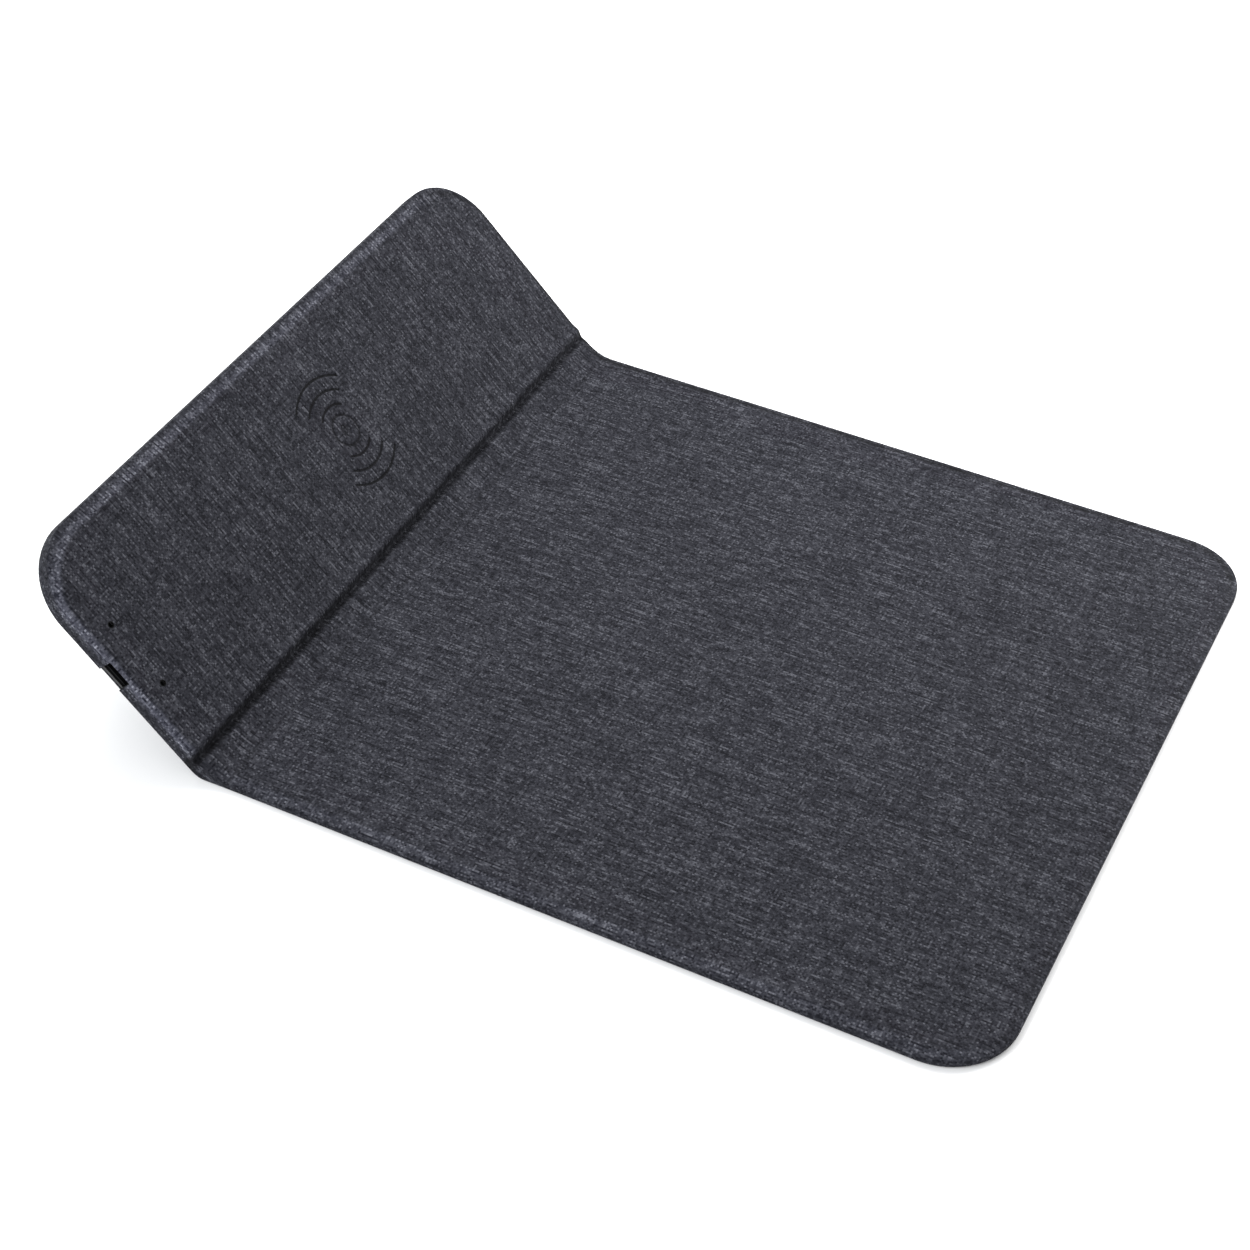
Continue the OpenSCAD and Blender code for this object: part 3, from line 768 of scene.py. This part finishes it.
def edge_painted_light(look, s, y, inward):
    """The cloth's painted highlight and painted shade at its edges: paler over the near and outer ones,
    standing in for their highlights, and darker over the far and right ones, standing in for their shade."""
    outer = look.between(s, S_FIRST + CORNER, S_FIRST, 0, 1, True)
    on_mat = look.between(s, -4 * MM, 0.5 * MM, 0, 1, True)
    start, full, full_end, end = [look.between(outer, 0, 1, *pair) for pair in zip(SIDE_HIGHLIGHT_BAND, OUTER_HIGHLIGHT_BAND)]
    panel_highlight_band = look.math("MULTIPLY", look.between(inward, start, full, 0, 1, True),
                           look.between(inward, full_end, end, 1, 0, True))
    far = look.between(y, 0.75 * MAT_HALF, 0.95 * MAT_HALF, 0, 1, True)
    near = look.between(y, -0.9 * MAT_HALF, -0.96 * MAT_HALF, 0, 1, True)
    strength = look.between(outer, 0, 1, SIDE_PAINTED_HIGHLIGHT, OUTER_PAINTED_HIGHLIGHT)
    not_far = look.math("MULTIPLY", look.math("SUBTRACT", 1.0, far), look.math("SUBTRACT", 1.0, on_mat))
    # The painted highlight over the panel's near and outer edges, and below it over the mat's near edge.
    pale = look.math("MULTIPLY", look.math("MULTIPLY", panel_highlight_band, strength), not_far)
    mat_highlight_band = look.math("MULTIPLY", look.between(inward, -0.3, 0.6, 0, 1, True),
                         look.between(inward, 0.7, 1.15, 1, 0, True))
    near_mat = look.math("MULTIPLY", near, look.between(s, 2 * MM, FOLD_LENGTH, 0, MAT_PAINTED_HIGHLIGHT, True))
    pale = look.math("ADD", pale, look.math("MULTIPLY", mat_highlight_band, near_mat))
    # The painted shade over the far and right edges.
    painted_shade_band = look.math("MULTIPLY", look.between(inward, 0.1, 0.5, 0, 1, True),
                          look.between(inward, 0.65, 1.0, 1, 0, True))
    right = look.between(s, S_LAST - CORNER, S_LAST, 0, RIGHT_PAINTED_SHADE)
    dark = look.math("MULTIPLY", painted_shade_band, look.math("MAXIMUM", look.math("MULTIPLY", far, FAR_PAINTED_SHADE), right))
    return look.math("SUBTRACT", look.math("ADD", 1.0, pale), dark)


def fold_painted_shade(look, s, y):
    """The painted shade in the valley, where little light reaches, and in the pressed line: darker colour on
    top of their grooves.
    """
    wander = look.math("MULTIPLY", look.math("SINE", look.math("MULTIPLY", y, PRESS_TURNS)), PRESS_WANDER)
    from_press = look.math("ABSOLUTE", look.math("SUBTRACT", look.math("SUBTRACT", s, PRESS_S), wander))
    # Painted shade along the pressed line.
    press = look.between(from_press, 0.15 * MM, 0.75 * MM, PRESS_PAINTED_SHADE, 0, True)
    # Painted shade in the valley, deeper towards the near side.
    from_valley = look.math("ABSOLUTE", look.math("SUBTRACT", s, VALLEY_S - 0.2 * MM))
    deep = look.between(y, -MAT_HALF, MAT_HALF, *VALLEY_PAINTED_SHADE)
    valley = look.math("MULTIPLY", look.between(from_valley, 0.7 * MM, 2.0 * MM, 1, 0, True), deep)
    return look.math("SUBTRACT", look.math("SUBTRACT", 1.0, press), valley)


def hole_rim_painted_shade(look, s, y):
    """1 on the cloth right round the pinholes, which is coloured near black there: painted shade."""
    dy = look.math("SUBTRACT", y, HOLE_Y)
    nearest = None
    for hole in HOLE_S:
        ds = look.math("SUBTRACT", s, hole)
        gap = look.length(ds, dy)
        nearest = gap if nearest is None else look.math("MINIMUM", nearest, gap)
    return look.between(nearest, HOLE_R + 0.1 * MM, HOLE_R + 0.35 * MM, 1, 0, True)


def mottled(name, dark, light, scale, roughness, bump=0.02, detail=3.0, spread=0.08, **plain):
    """A plain material with the small unevenness that its surface really has."""
    look = Shader(name, roughness, **plain)
    grain = look.noise(look.place(), scale, detail)
    look.colour(look.mix(look.between(grain, 0.3, 0.7), dark, light))
    look.roughness(look.between(grain, 0.3, 0.7, roughness - spread, roughness + spread))
    look.bump(grain, bump * MM)
    return look.material


def rubber_material():
    """Black rubber with a fine non-slip pattern of raised squares."""
    look = Shader("rubber_backing", 0.8, Specular_IOR_Level=0.2)
    s, y, _ = look.flat()
    pitch = 1.6 * MM
    cells = [look.math("PINGPONG", look.math("DIVIDE", way, pitch), 0.5) for way in (s, y)]
    low = look.math("MINIMUM", *cells)
    height = look.between(low, 0.04, 0.14, 0, 1, True)
    grain = look.noise(look.join(s, y), 2500.0, 3.0)
    look.colour(look.mix(grain, (0.006, 0.006, 0.007), (0.014, 0.014, 0.015)))
    look.roughness(look.between(grain, 0.3, 0.7, 0.7, 0.9))
    look.bump(look.math("ADD", height, look.math("MULTIPLY", grain, 0.3)), 0.08 * MM)
    return look.material


def solder_material():
    """Green solder mask with paler runs of copper under it."""
    look = Shader("solder_mask", 0.35, Coat_Weight=0.3)
    runs = look.add("ShaderNodeTexVoronoi", {"Vector": look.place(), "Scale": 420.0}, distance="MANHATTAN")
    edge = look.between(runs.outputs["Distance"], 0.35, 0.42, 0, 1, True)
    look.colour(look.mix(edge, (0.004, 0.06, 0.025), (0.012, 0.12, 0.05)))
    look.roughness(look.between(edge, 0, 1, 0.3, 0.4))
    look.bump(edge, 0.03 * MM)
    return look.material


def copper_material():
    """Enamelled copper wire, darker in the enamel's thicker places."""
    look = Shader("copper", 0.3, Metallic=1.0, Coat_Weight=0.4)
    grain = look.noise(look.place(), 900.0, 4.0)
    look.colour(look.mix(grain, (0.36, 0.12, 0.04), (0.72, 0.32, 0.14)))
    look.roughness(look.between(grain, 0.3, 0.7, 0.25, 0.4))
    look.bump(grain, 0.01 * MM)
    return look.material


def all_materials():
    return {
        "heather_cloth": cloth_material(),
        "rubber_backing": rubber_material(),
        "solder_mask": solder_material(),
        "copper": copper_material(),
        "foam": mottled("foam", (0.010, 0.010, 0.011), (0.024, 0.024, 0.026), 3500, 0.9, 0.08),
        "fibre_board": mottled("fibre_board", (0.16, 0.11, 0.07), (0.30, 0.22, 0.15), 1500, 0.85, 0.04),
        "black_plastic": mottled("black_plastic", (0.006, 0.006, 0.007), (0.014, 0.014, 0.015), 2600, 0.5,
                                 0.02),
        "adhesive_film": mottled("adhesive_film", (0.55, 0.48, 0.30), (0.68, 0.60, 0.40), 600, 0.45, 0.01),
        "ferrite": mottled("ferrite", (0.025, 0.025, 0.028), (0.06, 0.06, 0.064), 1800, 0.6, 0.03),
        "sensor_glaze": mottled("sensor_glaze", (0.42, 0.20, 0.03), (0.60, 0.32, 0.06), 900, 0.3, 0.01),
        "chip_black": mottled("chip_black", (0.010, 0.010, 0.011), (0.022, 0.022, 0.023), 4000, 0.55, 0.01),
        "ceramic": mottled("ceramic", (0.30, 0.19, 0.10), (0.42, 0.28, 0.16), 2500, 0.5, 0.01),
        # The port's shell is coloured near black, standing in for the shade inside the port: painted shade.
        "port_steel": mottled("port_steel", (0.003, 0.003, 0.0035), (0.006, 0.006, 0.0065), 1500, 0.6, 0.01,
                              Specular_IOR_Level=0.08),
        "contact_gold": mottled("contact_gold", (0.60, 0.38, 0.10), (0.85, 0.60, 0.22), 1800, 0.25, 0.004,
                                Metallic=1.0),
        "led_lens": mottled("led_lens", (0.30, 0.30, 0.24), (0.42, 0.42, 0.34), 1200, 0.35, 0.01),
        "clear_guide": mottled("clear_guide", (0.001, 0.001, 0.0012), (0.003, 0.003, 0.0035), 900, 0.6, 0.005,
                               Specular_IOR_Level=0.05),
    }


# ---------------------------------------------------------------- putting it together

def dress_nodes(materials):
    """Gives every CAD node the material of its slot."""
    for part in RECORD["subparts"]:
        node = frame["nodes"][part["node"]]
        if not node.material_slots:
            node.data.materials.append(None)
        for place in node.material_slots:
            place.material = materials[part["material_slot"]]


def in_frame(point):
    """A point given in x and z from the fold's axis, in the row frame."""
    return (AXIS[0] + point[0], 0, AXIS[1] + point[1])


def dress_pieces(materials):
    """Builds the three layers that cross the fold, gives them their materials and hides the CAD nodes that
    they stand in for.
    """
    soft_from = 5 * MM
    mat_side = in_frame((soft_from, np.interp(soft_from, CURVE[:, 0], CURVE[:, 1])))
    panel_side = in_frame(PANEL_START * UP + PANEL_FRONT * OUT)
    cloth, foam, backing = build_cloth(), build_foam(), build_backing()
    pieces = (
        (cloth, "heather_cloth", ("mat_cover", "fold_cover", "panel_cover"), mat_side, panel_side),
        (foam, "foam", ("mat_foam", "fold_foam", "panel_foam"), mat_side, panel_side),
        (backing, "rubber_backing", ("mat_base", "fold_backing", "panel_backing"),
         in_frame((0, MAT_FLOOR)), in_frame(PANEL_BACK * OUT)),
    )
    for piece, slot, nodes, start, end in pieces:
        piece.data.materials.clear()
        piece.data.materials.append(materials[slot])
        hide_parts(*nodes)
        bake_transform(piece)
        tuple(start)
        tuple(end)
    return cloth, foam, backing


def area_light(name, size, power, place, colour):
    """A square soft light at a place, turned to the middle of the object."""
    data = bpy.data.lights.new(name, "AREA")
    data.size = size
    data.energy = power
    data.color = colour
    light = bpy.data.objects.new(name, data)
    turn = Vector(place).to_track_quat("Z", "Y").to_matrix().to_4x4()
    light.matrix_world = Matrix.Translation(place) @ turn
    bpy.context.scene.collection.objects.link(light)


# Each light's name, side in metres, power in watts, place and colour.
WHITE = (1, 1, 1)
COOL = (0.94, 0.97, 1)
LIGHTS = [
    ("left_above", 0.5, 2.15, (-0.297, 0.297, 0.496), WHITE),
    ("left_close", 0.25, 0.8, (-0.15, 0.2, 0.35), WHITE),
    ("far_right", 0.25, 2.0, (0.2, 0.35, 0.2), WHITE),
    ("near_left", 0.6, 7.2, (-0.577, -0.577, 0.577), COOL),
    ("near_right", 0.8, 2.6, (0.775, -0.969, 0.388), COOL),
]
WORLD = 0.62
FLOOR_HALF = 4
FLOOR_LEVEL = -0.05 * MM


def studio():
    scene = bpy.context.scene
    scene.view_settings.view_transform = "Standard"
    world = bpy.data.worlds.new("studio")
    world.use_nodes = True
    background = world.node_tree.nodes["Background"]
    background.inputs["Color"].default_value = (1.0, 1.0, 1.0, 1)
    background.inputs["Strength"].default_value = WORLD
    scene.world = world
    for light in LIGHTS:
        area_light(*light)


def floor():
    look = Shader("pale_floor", 0.9)
    grain = look.noise(look.place(), 30.0, 2.0)
    look.colour(look.mix(grain, (0.90, 0.90, 0.90), (0.92, 0.92, 0.92)))
    mesh = bpy.data.meshes.new("studio_floor")
    corners = [(x * FLOOR_HALF, y * FLOOR_HALF, FLOOR_LEVEL) for x, y in ((-1, -1), (1, -1), (1, 1), (-1, 1))]
    mesh.from_pydata(corners, [], [(0, 1, 2, 3)])
    mesh.materials.append(look.material)
    plane = bpy.data.objects.new("studio_floor", mesh)
    bpy.context.scene.collection.objects.link(plane)


def camera():
    azimuth, elevation, roll = (math.radians(a) for a in (25.568, 41.469, 1.654))
    target = Vector((-0.037016, -0.001098, 0))
    distance = 0.66457
    back = Vector((math.sin(azimuth) * math.cos(elevation), -math.cos(azimuth) * math.cos(elevation),
                   math.sin(elevation)))
    right = (-back).cross(Vector((0, 0, 1))).normalized()
    up = right.cross(-back)
    right, up = (right * math.cos(roll) + up * math.sin(roll), up * math.cos(roll) - right * math.sin(roll))
    data = bpy.data.cameras.new("photo_camera")
    data.lens = 73.563
    data.sensor_width = 36
    data.clip_start = 0.01
    eye = bpy.data.objects.new("photo_camera", data)
    turn = Matrix((right, up, back)).transposed().to_4x4()
    eye.matrix_world = Matrix.Translation(target + back * distance) @ turn
    bpy.context.scene.collection.objects.link(eye)
    bpy.context.scene.camera = eye


camera()
studio()
floor()
MATERIALS = all_materials()
dress_nodes(MATERIALS)
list(dress_pieces(MATERIALS))
